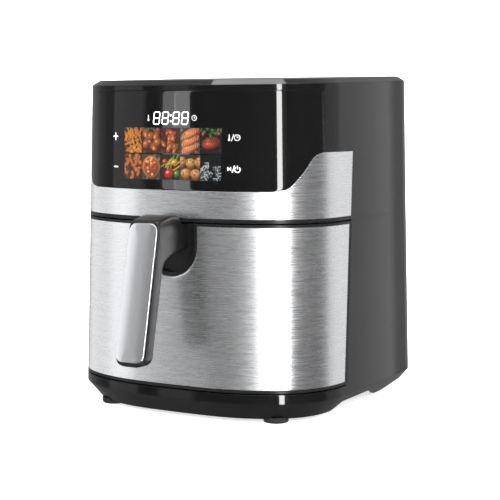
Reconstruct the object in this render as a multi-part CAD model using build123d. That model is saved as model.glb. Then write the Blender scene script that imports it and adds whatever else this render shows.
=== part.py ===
from build123d import *
from math import sin, cos, pi, radians, atan2, hypot, sqrt
import os

# Air fryer with a pull-out drawer.  Millimetres, +Z up, +X to the user's right,
# the front faces -Y, and the feet stand on Z = 0.

# ------------------------------------------------------------ driving sizes
Y_SHIFT = 32.6        # from the body's own centre to the middle of the whole footprint
H = 320.0             # height of the top at its front edge
HALF_W = 135.1        # half width at the top
HALF_D = 138.6        # half depth at the top
FLARE_SIDE = 0.0214   # how much each side grows per mm going down
FLARE_FRONT = 0.0118
FLARE_REAR = 0.0197
R_SHOULDER = 140.0    # front outline: nearly flat, then this radius,
R_CORNER = 80.4       # then this one round to the side
R_REAR = 45.3         # rear corners
ANG_1 = radians(3.0)
ANG_2 = radians(28.94)
SIDE_TILT = radians(2.42)
SIDE_SET = 2.05
TOP_SLOPE = 0.0334    # the top rises towards the rear
TOP_CH_Z = 4.5        # chamfer round the top
TOP_CH_IN = 7.5
WALL = 2.6            # moulded wall

Z_SEAM = 188.1        # joint between lower and upper housing
Z_PANEL_TOP = 310.5   # seam over the control panel
Y_PANEL = -78.5       # side edges of the control panel
Z_BAND_LO = 192.2     # stainless band
Z_BAND_HI = 254.0
EDGE_Y0 = -49.1       # rear ends of band and drawer front lie on y = EDGE_Y0 + EDGE_K z
EDGE_K = 0.0871
Z_DRW_LO = 31.0       # drawer front
Z_DRW_HI = 187.4
SKIN_LO = 33.9        # its stainless skin
SKIN_HI = 184.8
SKIN_T = 0.8
Z_STRIP = 29.8        # top of the housing strip under the drawer
Z_BASE_CH = 21.0      # base chamfer
BASE_IN = 15.0
Z_PLINTH = 4.2

POCKET_R = 29.0       # U-shaped handle pocket
POCKET_IN = 25.6
POCKET_ZC = 166.4
HANDLE_HALF = 15.9

BULK_Y = -82.5        # back plate of the drawer front
BAY_Y = -78.0         # front face of the bay frame
PAN_HALF = 108.5
PAN_Y0, PAN_Y1 = -79.8, 112.0
PAN_Z0, PAN_Z1 = 41.0, 176.0
PAN_R = 26.0
PAN_T = 1.2

LINER_HALF = 118.0
LINER_Y0, LINER_Y1 = -74.5, 118.0
LINER_Z0, LINER_Z1 = 36.0, 201.0

FX, FY = 0.0, 21.5      # axis of the motor and both fans
SHAFT_R = 3.0
BRACKET_SCREWS = [(sx * 106, FY + dy) for sx in (-1, 1) for dy in (-18, 18)]
FOOT_R = 12.0
FRONT_FEET = (92.0, -100.0)
REAR_FEET = (102.0, 90.0)

os.makedirs("parts", exist_ok=True)


# ------------------------------------------------------------ helpers
def ring(z, inset=0.0, tilt=False):
    """Closed outline of the body at height z, moved inwards by inset."""
    d = H - z
    a = HALF_W + FLARE_SIDE * d - inset
    yf = -HALF_D - FLARE_FRONT * d + inset
    yb = HALF_D + FLARE_REAR * d - inset
    r2, r3, rr = R_SHOULDER - inset, R_CORNER - inset, R_REAR - inset
    b = pi / 2 - SIDE_TILT
    r1 = (a - SIDE_SET - r2 * (sin(ANG_2) - sin(ANG_1)) - r3 * (sin(b) - sin(ANG_2))) / sin(ANG_1)

    def step(p, r, t0, t1):
        return (p[0] + r * (sin(t1) - sin(t0)), p[1] + r * (cos(t0) - cos(t1)))

    def at(p):
        return Vector(p[0], p[1], z + (TOP_SLOPE * (p[1] + HALF_D) if tilt else 0.0))

    p0 = (0.0, yf)
    p1 = step(p0, r1, 0, ANG_1)
    m12 = step(p1, r2, ANG_1, (ANG_1 + ANG_2) / 2)
    p2 = step(p1, r2, ANG_1, ANG_2)
    m23 = step(p2, r3, ANG_2, (ANG_2 + b) / 2)
    p3 = step(p2, r3, ANG_2, b)
    yend = yb - rr * (1 - sin(SIDE_TILT))
    p4 = (p3[0], yend)
    ms = (p3[0] + (yend - p3[1]) / 2 * (1 - cos(SIDE_TILT)) / sin(SIDE_TILT), (p3[1] + yend) / 2)
    c = (p4[0] - rr * cos(SIDE_TILT), yend - rr * sin(SIDE_TILT))
    tm = (SIDE_TILT + pi / 2) / 2
    m45 = (c[0] + rr * cos(tm), c[1] + rr * sin(tm))
    p5 = (c[0], c[1] + rr)

    def m(p):
        return (-p[0], p[1])

    arc = Edge.make_three_point_arc
    return Wire([
        arc(at(m(p1)), at(p0), at(p1)),
        arc(at(p1), at(m12), at(p2)),
        arc(at(p2), at(m23), at(p3)),
        arc(at(p3), at(ms), at(p4)),
        arc(at(p4), at(m45), at(p5)),
        Edge.make_line(at(p5), at(m(p5))),
        arc(at(m(p5)), at(m(m45)), at(m(p4))),
        arc(at(m(p4)), at(m(ms)), at(m(p3))),
        arc(at(m(p3)), at(m(m23)), at(m(p2))),
        arc(at(m(p2)), at(m(m12)), at(m(p1))),
    ])


def block(*levels):
    return Solid.make_loft([ring(*lv) for lv in levels], True)


def box(x0, x1, y0, y1, z0, z1):
    return Pos((x0 + x1) / 2, (y0 + y1) / 2, (z0 + z1) / 2) * Box(x1 - x0, y1 - y0, z1 - z0)


def cyl(x, y, z0, z1, r):
    return Pos(x, y, (z0 + z1) / 2) * Cylinder(r, z1 - z0)


def cyl_y(x, z, y0, y1, r):
    return Pos(x, (y0 + y1) / 2, z) * Rot(90, 0, 0) * Cylinder(r, y1 - y0)


def cyl_x(y, z, x0, x1, r):
    return Pos((x0 + x1) / 2, y, z) * Rot(0, 90, 0) * Cylinder(r, x1 - x0)


def prism_x(pts, x0, x1):
    """Solid with a (y, z) outline, between two x positions."""
    w = Wire([Edge.make_line(Vector(x0, *pts[i]), Vector(x0, *pts[(i + 1) % len(pts)])) for i in range(len(pts))])
    return Solid.extrude(Face(w), Vector(x1 - x0, 0, 0))


def edge_y(z, off=0.0):
    return EDGE_Y0 + EDGE_K * z + off


def front_wedge(z0, z1, off=0.0):
    """Everything in front of the inclined side-edge plane, between two heights."""
    return prism_x([(-260, z0), (edge_y(z0, off), z0), (edge_y(z1, off), z1), (-260, z1)], -200, 200)


def u_prism(r, y0, y1, top=Z_DRW_HI + 5):
    """U shape seen from the front: half disc below, straight sides up to top."""
    return cyl_y(0, POCKET_ZC, y0, y1, r) + box(-r, r, y0, y1, POCKET_ZC, top)


def tube(pts, radii, r):
    """Round bar along straight runs joined by tangent arcs."""
    path = FilletPolyline(*pts, radius=radii)
    start = Plane(origin=path @ 0, z_dir=path % 0)
    return sweep(start * Circle(r), path=path)


def screw_z(x, y, z_head, z_tip, r=1.5, rh=3.0, hh=2.0):
    """Pan-head screw, head at z_head, shank running to z_tip."""
    s = 1 if z_tip > z_head else -1
    lo, hi = sorted((z_head, z_head + s * hh))
    head = cyl(x, y, lo, hi, rh)
    slot = box(x - 2, x + 2, y - .4, y + .4, *sorted((z_head, z_head + s * 0.8)))
    slot2 = box(x - .4, x + .4, y - 2, y + 2, *sorted((z_head, z_head + s * 0.8)))
    return head - slot - slot2 + cyl(x, y, *sorted((z_head + s * hh, z_tip)), r)


def screw_y(x, z, y_head, y_tip, r=1.5, rh=3.0, hh=2.0):
    s = 1 if y_tip > y_head else -1
    head = cyl_y(x, z, *sorted((y_head, y_head + s * hh)), rh)
    a, b = sorted((y_head, y_head + s * 0.8))
    return head - box(x - 2, x + 2, a, b, z - .4, z + .4) - box(x - .4, x + .4, a, b, z - 2, z + 2) \
        + cyl_y(x, z, *sorted((y_head + s * hh, y_tip)), r)


def save(name, shape):
    solids = shape.solids() if not isinstance(shape, list) else [s for g in shape for s in g.solids()]
    moved = [s.moved(Location((0, Y_SHIFT, 0))) for s in solids]
    out = moved[0] if len(moved) == 1 else Compound(children=moved)
    export_step(out, f"parts/{name}.step")
    print(name, len(moved))


# ------------------------------------------------------------ masks
# The S-shaped top edge of the band, as (distance along the diagonal, height).
S_PTS = [(-19.6, 217.9), (-9.3, 218.8), (1.2, 222.5), (7.5, 229.1), (15.8, 238.4),
         (21.8, 247.0), (29.9, 252.5), (37.6, Z_BAND_HI)]


def below_s(dz):
    """Region under the S edge on both sides of the front, its edge moved by dz."""
    q = 1 / sqrt(2)
    t0, t1 = -20.0, 300.0

    def at(u, z):
        return Vector((u + t0) * q, (u - t0) * q, z)

    pts = [at(u, z + dz) for u, z in S_PTS]
    e = [Edge.make_line(at(-240, 150), at(-240, S_PTS[0][1] + dz)),
         Edge.make_line(at(-240, S_PTS[0][1] + dz), pts[0]),
         Edge.make_spline(pts, tangents=[Vector(q, q, 0), Vector(q, q, 0)]),
         Edge.make_line(pts[-1], at(180, Z_BAND_HI + dz)),
         Edge.make_line(at(180, Z_BAND_HI + dz), at(180, 150)),
         Edge.make_line(at(180, 150), at(-240, 150))]
    right = Solid.extrude(Face(Wire(e)), Vector((t1 - t0) * q, -(t1 - t0) * q, 0)) & box(0, 240, -260, 120, 140, 300)
    return right + mirror(right, Plane.YZ)


# ------------------------------------------------------------ upper housing
z_ch = H - TOP_CH_Z
upper = block((Z_SEAM + 0.15, 0), (z_ch, 0, True), (H, TOP_CH_IN, True)) \
    - block((Z_SEAM - 6, WALL), (z_ch - 1.8, WALL, True), (H - 2.6, TOP_CH_IN + 1.2, True))
upper = upper - box(-200, 200, -260, Y_PANEL + 0.12, 150, Z_PANEL_TOP + 0.15)
upper = upper - front_wedge(150, Z_BAND_HI + 0.15, 0.12)
GR_X, GR_Z0, GR_Z1 = 54.0, 199.0, 247.0
upper = upper - box(-GR_X, GR_X, 125, 160, GR_Z0, GR_Z1)
for sx in (-1, 1):
    upper = upper - cyl_y(sx * 78, 193, 120, 160, 1.65)
    # small finger notch mark under the top edge of each side
    upper = upper - box(*sorted((sx * 134.4, sx * 140)), -25.5, -21.5, 312.4, 313.6)
save("upper_housing", upper)

# ------------------------------------------------------------ control panel
panel = block((205, 0), (H, 0)) - block((200, 2.5), (H + 4, 2.5))
panel = panel & box(-200, 200, -260, Y_PANEL, 210, Z_PANEL_TOP)
panel = panel - below_s(0.1)
save("control_panel", panel)

# ------------------------------------------------------------ band and carrier
band = block((Z_BAND_LO, 0), (Z_BAND_HI + 2, 0)) - block((Z_BAND_LO - 3, SKIN_T), (Z_BAND_HI + 5, SKIN_T))
band = band & front_wedge(Z_BAND_LO, Z_BAND_HI + 1)
band = band & below_s(-0.1)
save("steel_band", band)

C_IN = 5.2
Z_LIP = 188.7
carrier = block((Z_LIP, 0), (Z_PANEL_TOP - 0.1, 0)) & (
    front_wedge(Z_LIP, Z_BAND_HI - 0.3, 0.0)
    + box(-200, 200, -260, Y_PANEL, Z_BAND_HI - 1, Z_PANEL_TOP - 0.1))
keep_in = block((Z_LIP - 5, C_IN), (Z_PANEL_TOP + 5, C_IN))
behind_band = block((Z_BAND_LO, SKIN_T + 0.1), (Z_BAND_HI + 2, SKIN_T + 0.1))
behind_panel = block((200, 2.6), (H, 2.6))
band_room = (front_wedge(Z_BAND_LO, Z_BAND_HI + 2, 1) & below_s(0.0)) - behind_band
panel_room = (box(-200, 200, -260, Y_PANEL + 1, 205, Z_PANEL_TOP + 1) - below_s(0.0)) - behind_panel
carrier = carrier - keep_in - band_room - panel_room
# shelf over the drawer front, running back to the bay frame
shelf = block((Z_LIP, 1.0), (Z_LIP + 2.2, 1.0)) & box(-200, 200, -260, BAY_Y + 2, Z_LIP, Z_LIP + 2.2)
carrier = carrier + shelf
# window for the display
carrier = carrier - box(-57, 57, -150, -120, 223, 294)
# window frame behind, holding the display
carrier = carrier + (box(-60, 60, -130.8, -126.6, 220, 297) - box(-56.6, 56.6, -140, -120, 223.4, 293.6))
for x in (-63, 63):
    for z in (226, 296):
        carrier = carrier + cyl_y(x, z, -128.6, -124.6, 2.6) - cyl_y(x, z, -128.2, -120, 1.0)
save("fascia_carrier", carrier)

# ------------------------------------------------------------ lower housing
lower = block((Z_PLINTH, BASE_IN), (Z_BASE_CH, 0), (Z_SEAM, 0)) \
    - block((3.0, BASE_IN + 4.55), (Z_BASE_CH + 1.0, WALL), (Z_SEAM + 2, WALL))
lower = lower - front_wedge(Z_STRIP, Z_SEAM + 3, 1.1)
# arches in the plinth on both sides
lower = lower - prism_x([(-51, -5), (-51, 3.4), (-39, 12.6), (22, 13.4), (51, 3.4), (51, -5)], -200, 200)
# the lower edge rises towards the rear, behind the rear feet's front side
lower = lower - prism_x([(66, -5), (66, 3.9), (96, 9.6), (131, 14.4), (175, 20.0), (175, -5)], -200, 200)
# ledge under the drawer front
ledge = (block((Z_STRIP - 2.4, 1.2), (Z_STRIP, 1.2)) & box(-200, 200, -260, -60, 20, 40))
lower = lower + ledge
# tongue that the upper housing sits over
tongue = block((Z_SEAM - 8, WALL - 0.4), (Z_SEAM, WALL - 0.4)) + block((Z_SEAM, WALL + 0.25), (Z_SEAM + 8, WALL + 0.25))
tongue = tongue - block((Z_SEAM - 12, WALL + 2.4), (Z_SEAM + 12, WALL + 2.4))
tongue = tongue & box(-200, 200, -20, 200, 150, 250)
lower = lower + tongue
for sx in (-1, 1):
    lower = lower - cyl_y(sx * 78, 193, 120, 160, 1.2)
lower = lower - cyl_y(72, 52, 120, 160, 8.0)
# screw posts that the base cover is fixed to
BASE_SCREWS = [(sx * 88, y) for sx in (-1, 1) for y in (-66, 20, 106)]
for x, y in BASE_SCREWS:
    lower = lower + (cyl(x, y, 17.2, Z_STRIP, 4.5) - cyl(x, y, 10, 27, 1.2))
floor_bridge = box(-92.5, 92.5, -70, 110.5, Z_STRIP - 2.4, Z_STRIP) - box(-83, 83, -61, 101, 20, 40)
lower = lower + floor_bridge
# webs that tie the bridge to the side walls
for sx in (-1, 1):
    for y in (-62, 20, 100):
        lower = lower + box(*sorted((sx * 91, sx * 137.5)), y - 4, y + 4, Z_STRIP - 2.4, Z_STRIP)
for sx in (-1, 1):
    lower = lower + box(*sorted((sx * 60, sx * 68)), 108, 141, Z_STRIP - 2.4, Z_STRIP)
for sx in (-1, 1):
    lower = lower - cyl(sx * FRONT_FEET[0], FRONT_FEET[1], -1, 5.6, FOOT_R + .3)
save("lower_housing", lower)

# ------------------------------------------------------------ base cover, feet
ZB = 14.6
base = block((ZB, 10.6), (ZB + 2.4, 8.6))
feet_xy = [(sx * p[0], p[1]) for p in (FRONT_FEET, REAR_FEET) for sx in (-1, 1)]
for x, y in feet_xy:
    base = base + cyl(x, y, 5.6, ZB, FOOT_R + 1.2)
    base = base - cyl(x, y, 2, 8.2, 4.4) - cyl(x, y, 2, ZB + 5, 3.2)
for x, y in BASE_SCREWS:
    base = base - cyl(x, y, ZB - 1, ZB + 5, 1.7)
for i in range(-4, 5):
    base = base - box(i * 12 - 2.2, i * 12 + 2.2, 30, 75, ZB - 1, ZB + 5)
base = base & block((3.5, 20), (Z_BASE_CH + 1.0, 3.2))
save("base_cover", base)
feet = []
for x, y in feet_xy:
    f = cyl(x, y, 0, 5.5, FOOT_R)
    f = fillet(f.edges().filter_by(GeomType.CIRCLE).group_by(Axis.Z)[0], 1.6)
    f = f + cyl(x, y, 5.4, 8.1, 4.2) + cyl(x, y, 8.0, ZB + 2.6, 3.0) + cyl(x, y, ZB + 2.5, ZB + 4.2, 4.2)
    feet.append(f)
save("rubber_feet", feet)
save("base_screws", [screw_z(x, y, ZB - 2.0, 26.0, r=1.15) for x, y in BASE_SCREWS])

# ------------------------------------------------------------ bay frame and liner
bay = block((Z_STRIP + 0.4, 6.6), (Z_SEAM - 0.2, 6.6))
bay_in = block((20, 9.0), (200, 9.0))
face = bay & box(-200, 200, BAY_Y, BAY_Y + 2.4, 0, 300)
sides = (bay - bay_in) & box(-200, 200, BAY_Y + 1, -22, 0, 300)
bay = face + sides - box(-LINER_HALF - 0.2, LINER_HALF + 0.2, BAY_Y - 2, BAY_Y + 4, LINER_Z0 - 0.2, Z_SEAM + 5)
# hole for the switch plunger, in the strip beside the opening
SW_X, SW_Z = 122.1, 150.0
bay = bay - cyl_y(-SW_X, SW_Z, BAY_Y - 5, BAY_Y + 5, 1.3)
save("bay_frame", bay)

liner = box(-LINER_HALF - 1, LINER_HALF + 1, LINER_Y0, LINER_Y1 + 1, LINER_Z0 - 1, LINER_Z1) \
    - box(-LINER_HALF, LINER_HALF, LINER_Y0 - 5, LINER_Y1, LINER_Z0, LINER_Z1 - 1)
liner = liner - cyl(FX, FY, 190, 210, 86)
liner = liner - box(-38, 38, 110, 130, 186, 198)
# front curtain closing the liner above the drawer mouth
liner = liner + box(-LINER_HALF - 1, LINER_HALF + 1, LINER_Y0, LINER_Y0 + 1, 191.2, LINER_Z1)
liner = liner - cyl_x(60, 180, 112, 130, 2.1)
for x, y in BRACKET_SCREWS:
    liner = liner - cyl(x, y, 190, 210, 1.6)
save("cavity_liner", liner)

refl = Pos(FX, FY, 0) * Solid.revolve(Face(Wire.make_polygon([
    Vector(94, 0, 201.1), Vector(94, 0, 202.1), Vector(88.2, 0, 202.1), Vector(80.5, 0, 230.2),
    Vector(6.5, 0, 230.2), Vector(6.5, 0, 229.2), Vector(79.7, 0, 229.2), Vector(85.0, 0, 209.8), Vector(87.3, 0, 201.1)],
    close=True)), 360, Axis.Z)
ROD_A = (FX + 72.0 * cos(radians(100)), FY + 72.0 * sin(radians(100)))
_t = radians(128)
ROD_B = (FX + 64.0 * cos(_t) + 8.0 * sin(_t), FY + 64.0 * sin(_t) - 8.0 * cos(_t))
for x, y in (ROD_A, ROD_B):
    refl = refl - cyl(x, y, 225, 235, 3.1)
CUT_XY = (FX + 68 * cos(radians(-60)), FY + 68 * sin(radians(-60)))
save("heat_reflector", refl)

# rails that carry the pan's rim
rails = []
for sx in (-1, 1):
    r_ = box(*sorted((sx * (LINER_HALF - 8.1), sx * (LINER_HALF - .1))), LINER_Y0 + 2, 116, 173.3, 174.5) \
        + box(*sorted((sx * (LINER_HALF - 1.3), sx * (LINER_HALF - .1))), LINER_Y0 + 2, 116, 160, 173.4)
    rails.append(r_)
save("drawer_rails", rails)

# ------------------------------------------------------------ heater
HZ = 192.0
rO, rI = 72.0, 56.0
ro_ = (rO - rI) / 2


def pc(r, deg, z=HZ):
    return Vector(FX + r * cos(radians(deg)), FY + r * sin(radians(deg)), z)


# outer turn, hairpin, inner turn; both ends rise and leave to the rear
a0, a1 = 100.0, 414.0
e_outer = Edge.make_three_point_arc(pc(rO, a0), pc(rO, (a0 + a1) / 2), pc(rO, a1))
cm = pc((rO + rI) / 2, a1)
tdir = Vector(-sin(radians(a1)), cos(radians(a1)), 0)
e_pin = Edge.make_three_point_arc(pc(rO, a1), cm + tdir * ro_, pc(rI, a1))
b0 = 128.0
e_inner = Edge.make_three_point_arc(pc(rI, a1), pc(rI, (a1 + b0) / 2), pc(rI, b0))
tv = Vector(sin(radians(b0)), -cos(radians(b0)), 0)
nv = Vector(cos(radians(b0)), sin(radians(b0)), 0)
e_turn = Edge.make_three_point_arc(pc(rI, b0), pc(rI, b0) + tv * (8 * sin(pi / 4)) + nv * (8 * (1 - cos(pi / 4))),
                                   pc(rI, b0) + tv * 8 + nv * 8)


coil = sweep(Plane(origin=e_outer @ 0, z_dir=e_outer % 0) * Circle(3.2), path=Wire([e_outer, e_pin, e_inner, e_turn]))
for x, y in (ROD_A, ROD_B):
    coil = coil + Pos(x, y, HZ) * Sphere(3.2) + cyl(x, y, HZ, 224, 3.2) + cyl(x, y, 223, 238, 2.6)
save("heating_element", coil)
clips = []
for ang in (0, 200, 300):
    c_ = radians(ang)
    g = box(50, 92, -4, 4, HZ + 3.5, HZ + 4.5) + box(91, 92, -4, 4, HZ + 3.5, 199.9)
    for rr_ in (rI, rO):
        g = g + (box(rr_ - 5.2, rr_ + 5.2, -4, 4, HZ - 1.5, HZ + 3.6) - Pos(rr_, 0, HZ) * Rot(90, 0, 0) * Cylinder(3.9, 20)
                 - box(rr_ - 3.9, rr_ + 3.9, -5, 5, HZ - 5, HZ))
    clips.append(Pos(FX, FY, 0) * Rot(0, 0, ang) * g)
save("element_clips", clips)

# wire guard under the element
GZ = 182.0
guard = [Pos(FX, FY, GZ) * Torus(r_g, 1.1) for r_g in (14, 32, 50, 68)] + [Pos(FX, FY, GZ) * Torus(86, 1.3)]
for k, ang in enumerate((0, 60, 120)):
    if k == 0:
        spans = [(-87, 87)]
    else:
        spans = [(2.5, 87), (-87, -2.5)]
    for a_, b_ in spans:
        guard.append(Pos(FX, FY, GZ + 2.58) * Rot(0, 0, ang) * cyl_x(0, 0, a_, b_, 1.2))
for ang in (30, 150, 270):
    guard.append(Pos(FX, FY, 0) * Rot(0, 0, ang) * (cyl(91, 0, GZ, 199.8, 1.4) + cyl_x(0, GZ, 87.4, 91, 1.4) + Pos(91, 0, GZ) * Sphere(1.4)))
save("heater_guard", guard)

# ------------------------------------------------------------ fans and motor
shaft = cyl(FX, FY, 206.5, 291.5, SHAFT_R)
shaft = fillet(shaft.edges().filter_by(GeomType.CIRCLE), 0.5)
save("motor_shaft", shaft)

fan = cyl(FX, FY, 212.4, 221, 9) + cyl(FX, FY, 220, 221, 56)
for i in range(10):
    fan = fan + Pos(FX, FY, 0) * Rot(0, 0, 36 * i) * (Pos(33, 0, 213) * Rot(0, 0, 18) * Box(42, 1.0, 14.4))
fan = fan & cyl(FX, FY, 200, 230, 56)
fan = fan - cyl(FX, FY, 200, 230, SHAFT_R + 0.02)
save("hot_air_fan", fan)

cfan = cyl(FX, FY, 233.6, 245.4, 8) + cyl(FX, FY, 244.2, 245.4, 48)
for i in range(12):
    cfan = cfan + Pos(FX, FY, 0) * Rot(0, 0, 30 * i) * (Pos(28, 0, 239.4) * Rot(0, 0, 24) * Box(40, 1.2, 10.4))
cfan = cfan & cyl(FX, FY, 200, 250, 48)
cfan = cfan - cyl(FX, FY, 200, 260, SHAFT_R + 0.02)
save("cooling_fan", cfan)

nut = Pos(FX, FY, 207.6) * extrude(RegularPolygon(5.6, 6), 4.6) - cyl(FX, FY, 200, 220, SHAFT_R + 0.02)
save("fan_nut", nut)

rotor = cyl(FX, FY, 260.5, 279.5, 16.4) - cyl(FX, FY, 250, 290, SHAFT_R + 0.02)
for i in range(12):
    rotor = rotor - Pos(FX, FY, 270) * Rot(0, 0, 30 * i) * Pos(16.4, 0, 0) * Box(1.4, 1.0, 30)
save("motor_rotor", rotor)

br = box(-112, 112, FY - 26, FY + 26, 249, 250.5)
for sx in (-1, 1):
    br = br + box(*sorted((sx * 110.5, sx * 112)), FY - 26, FY + 26, 201.2, 250)
    br = br + box(*sorted((sx * 100.5, sx * 112)), FY - 26, FY + 26, 201.2, 202.7)
for dx in (-26, 26):
    for dy in (-26, 26):
        br = br + cyl(FX + dx, FY + dy, 249, 258.9, 4) + box(FX + dx - 4, FX + dx + 4, FY + dy - 4, FY + dy + 4, 249, 250.5)
br = br + cyl(FX, FY, 250.5, 256, 10) - cyl(FX, FY, 250.5, 260, 7.02) - cyl(FX, FY, 240, 260, 5)
for dx in (-26, 26):
    for dy in (-26, 26):
        br = br - cyl(FX + dx, FY + dy, 240, 262, 1.55)
for x, y in BRACKET_SCREWS:
    br = br - cyl(x, y, 195, 210, 1.7)
save("motor_bracket", br)

st = box(-31, 31, FY - 31, FY + 31, 264, 276)
st = fillet(st.edges().filter_by(Axis.Z), 6)
st = st - cyl(FX, FY, 250, 290, 16.9)
coils = []
for i in range(4):
    w_ = Pos(FX, FY, 0) * Rot(0, 0, 90 * i) * (box(17.6, 25.5, -13, 13, 260, 263.9) + box(17.6, 25.5, -13, 13, 276.1, 279.5))
    coils.append(w_)
for dx in (-26, 26):
    for dy in (-26, 26):
        st = st - cyl(FX + dx, FY + dy, 250, 290, 1.8)
save("motor_stator", st)
save("stator_windings", coils)

cap = box(-31, 31, FY - 31, FY + 31, 281.1, 283.1)
cap = fillet(cap.edges().filter_by(Axis.Z), 6)
cap = cap + cyl(FX, FY, 283, 288.7, 10)
for dx in (-26, 26):
    for dy in (-26, 26):
        cap = cap + cyl(FX + dx, FY + dy, 276.1, 282, 3.6)
cap = cap - cyl(FX, FY, 283.1, 290, 7.02) - cyl(FX, FY, 270, 290, 5)
for dx in (-26, 26):
    for dy in (-26, 26):
        cap = cap - cyl(FX + dx, FY + dy, 270, 290, 1.8)
save("motor_end_cap", cap)
# spacers between bracket posts and stator
save("motor_spacers", [cyl(FX + dx, FY + dy, 259.0, 263.9, 3.6) - cyl(FX + dx, FY + dy, 250, 270, 1.8)
                       for dx in (-26, 26) for dy in (-26, 26)])
bears = []
for z0 in (250.6, 283.2):
    b_ = cyl(FX, FY, z0, z0 + 5, 7.0) - cyl(FX, FY, z0 - 1, z0 + 6, SHAFT_R + 0.05)
    groove = cyl(FX, FY, z0 + 4.5, z0 + 6, 5.9) - cyl(FX, FY, z0, z0 + 7, 4.2)
    bears.append(b_ - groove)
save("motor_bearings", bears)
save("motor_screws", [screw_z(FX + dx, FY + dy, 285.2, 251, r=1.5) for dx in (-26, 26) for dy in (-26, 26)])
save("bracket_screws", [screw_z(x, y, 204.8, 197.5, r=1.5, rh=2.9) for x, y in BRACKET_SCREWS])

# ------------------------------------------------------------ ducts and grille
def rect_y(x, y, z0, z1):
    return Wire.make_polygon([Vector(-x, y, z0), Vector(x, y, z0), Vector(x, y, z1), Vector(-x, y, z1)], close=True)


duct = Solid.make_loft([rect_y(42, 119.1, 184.6, 199.4), rect_y(42, 135.0, 201.2, 216.0)], True) \
    - Solid.make_loft([rect_y(40.8, 118.9, 185.5, 197.9), rect_y(40.8, 135.2, 202.7, 214.9)], True)
save("exhaust_duct", duct)

gr = box(-GR_X + .3, GR_X - .3, 136.5, 160, GR_Z0 + .3, GR_Z1 - .3) & block((150, 0), (300, 0))
gr = gr + box(-GR_X - 4, GR_X + 4, 135.2, 137.1, GR_Z0 - 1.5, GR_Z1 + 4)
for i in range(9):
    z = GR_Z0 + 4.0 + i * 5.0
    gr = gr - box(-GR_X + 5, -2, 120, 170, z - 1.3, z + 1.3) - box(2, GR_X - 5, 120, 170, z - 1.3, z + 1.3)
save("rear_grille", gr)
save("housing_screws", [screw_y(sx * 78, 193, 143.3, 131.5, r=1.15) for sx in (-1, 1)])

# ------------------------------------------------------------ electronics
PB_Y = 120.0
pcb = box(-80, 80, PB_Y, PB_Y + 1.6, 252, 306)
PB_SCREWS = [(sx * 74, z) for sx in (-1, 1) for z in (258, 300)]
for x, z in PB_SCREWS:
    pcb = pcb - cyl_y(x, z, PB_Y - 2, PB_Y + 4, 1.7)
parts_on = [
    box(-62, -36, PB_Y - 22, PB_Y - .05, 262, 290),           # transformer
    box(-28, -12, PB_Y - 16, PB_Y - .05, 276, 296),           # relay
    cyl_y(22, 292, PB_Y - 25, PB_Y - .05, 6.5),               # capacitors
    cyl_y(38, 292, PB_Y - 21, PB_Y - .05, 5.0),
    box(48, 66, PB_Y - 12, PB_Y - .05, 284, 300),             # film capacitor
    box(24, 44, PB_Y - 14, PB_Y - .05, 262, 276),             # terminals
    box(46, 64, PB_Y - 14, PB_Y - .05, 256, 272),
    box(-9, 9, PB_Y - 7, PB_Y - .05, 288, 293.5),             # ribbon socket
]
heat_sink = box(0, 14, PB_Y - 20, PB_Y - .05, 254, 280)
for i in range(3):
    heat_sink = heat_sink - box(2.0 + i * 4, 4.0 + i * 4, PB_Y - 21, PB_Y - 4, 250, 290)
save("power_board", [pcb])
save("board_components", parts_on + [heat_sink])
save("board_screws", [screw_y(x, z, PB_Y - 2.1, PB_Y + 9, r=1.2) for x, z in PB_SCREWS])

tb = box(-68, 68, -124.5, -122.9, 221, 301)
for x in (-63, 63):
    for z in (226, 296):
        tb = tb - cyl_y(x, z, -130, -120, 1.3)
save("touch_board", tb)
save("touch_board_screws", [screw_y(x, z, -120.8, -127.5, r=0.95, rh=2.4) for x in (-63, 63) for z in (226, 296)])
disp = box(-56, 56, -131.4, -127.2, 224, 293)
disp = fillet(disp.edges().filter_by(Axis.Y), 1.5)
save("display_module", disp)

rib = [(-122.85, 290), (-116, 291), (-110, 300), (-100, 306.5), (104, 306.5), (109, 304), (112.5, 294.5), (112.9, 293.0)]
poly = [(-122.85, 290), (-116, 291), (-110, 300), (-100, 306.5), (100, 306.5), (108, 303), (112.85, 292.0)]
up_ = [(-122.85, 290.7), (-116.3, 291.7), (-110.3, 300.8), (-100.3, 307.2), (100.3, 307.2), (108.7, 303.5), (112.85, 293.2)]
save("ribbon_cable", prism_x(poly + up_[::-1], -7, 7))

leads = []
for x, y in (ROD_A, ROD_B):
    leads.append(cyl(x, y, 236, 240.2, 3.6) - cyl(x, y, 230, 238.05, 2.65)
                 + tube([Vector(x, y, 240), Vector(x, y, 258), Vector(x, PB_Y - .05, 258)], 8, 1.6)
                 - box(-90, 90, PB_Y - .05, PB_Y + 10, 200, 320))
save("heater_leads", leads)

tc = cyl(*CUT_XY, 230.4, 232.0, 9) + cyl(*CUT_XY, 231.9, 238.5, 6.5)
for sx in (-1, 1):
    tc = tc + box(CUT_XY[0] + sx * 3.4 - .4, CUT_XY[0] + sx * 3.4 + .4, CUT_XY[1] - 2.2, CUT_XY[1] + 2.2, 238.4, 244.5)
save("thermal_cutout", tc)

ts = cyl_x(60, 180, 110.5, 125, 2.0) + cyl_x(60, 180, LINER_HALF + 1.1, LINER_HALF + 3.5, 4.6)
ts = ts + Pos(110.5, 60, 180) * Sphere(2.0)
save("temperature_sensor", ts)

sw = box(-123.9, -119.3, BAY_Y + 2.5, BAY_Y + 22, 143, 157) - cyl_y(-SW_X, SW_Z, BAY_Y, BAY_Y + 11, 1.25)
sw = sw + box(-123.4, -120.8, BAY_Y + 21.9, BAY_Y + 27, 145, 145.8) + box(-123.4, -120.8, BAY_Y + 21.9, BAY_Y + 27, 154, 154.8)
save("drawer_switch", sw)
pl = cyl_y(-SW_X, SW_Z, BULK_Y + 2.65, BAY_Y + 9, 1.15)
pl = fillet(pl.edges().filter_by(GeomType.CIRCLE), 0.4)
save("switch_plunger", pl)

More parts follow.
